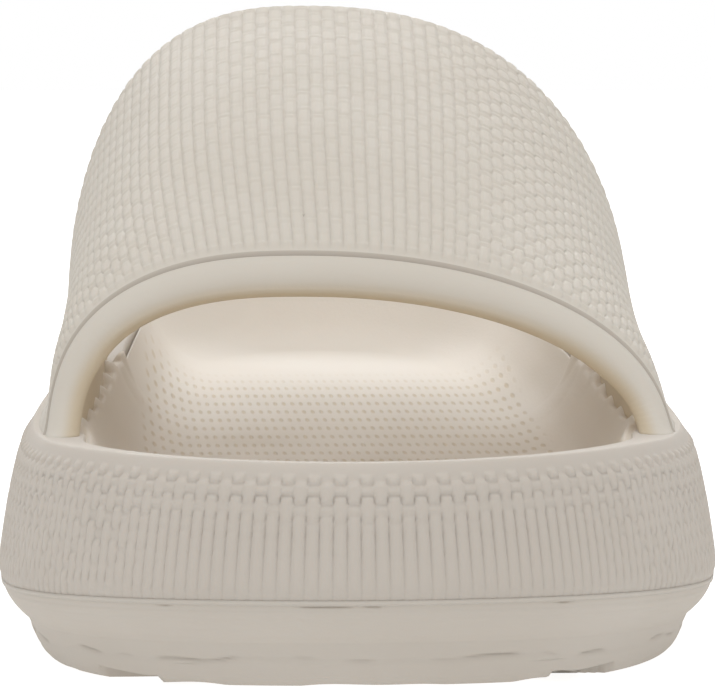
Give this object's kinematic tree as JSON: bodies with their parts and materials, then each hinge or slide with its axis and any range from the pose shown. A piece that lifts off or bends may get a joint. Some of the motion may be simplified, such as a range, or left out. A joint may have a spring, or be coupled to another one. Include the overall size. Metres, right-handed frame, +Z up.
{
  "type": "sport slide sandal",
  "caption": "Left slide sandal in moulded foam: one broad arched strap over a cupped footbed, on a thick rounded midsole with a lugged outsole.",
  "frame": {"origin": "under the middle of the sandal's box, on the ground plane", "axes": "+Z up, -Y from the heel towards the toe, -X towards the big toe side of a left foot"},
  "size_m": [0.1142, 0.2854, 0.102],
  "materials": {
    "strap_foam": "matte moulded foam with a fine knitted relief, warm off-white",
    "midsole_foam": "matte moulded foam with a fine knitted relief, warm off-white",
    "outsole_rubber": "matte foam rubber, warm off-white",
    "footbed_foam": "soft matte foam with small dimples, warm off-white"
  },
  "bodies": {
    "root": {"strap": "strap_foam", "midsole": "midsole_foam", "outsole": "outsole_rubber", "footbed": "footbed_foam"}
  },
  "joints": []
}
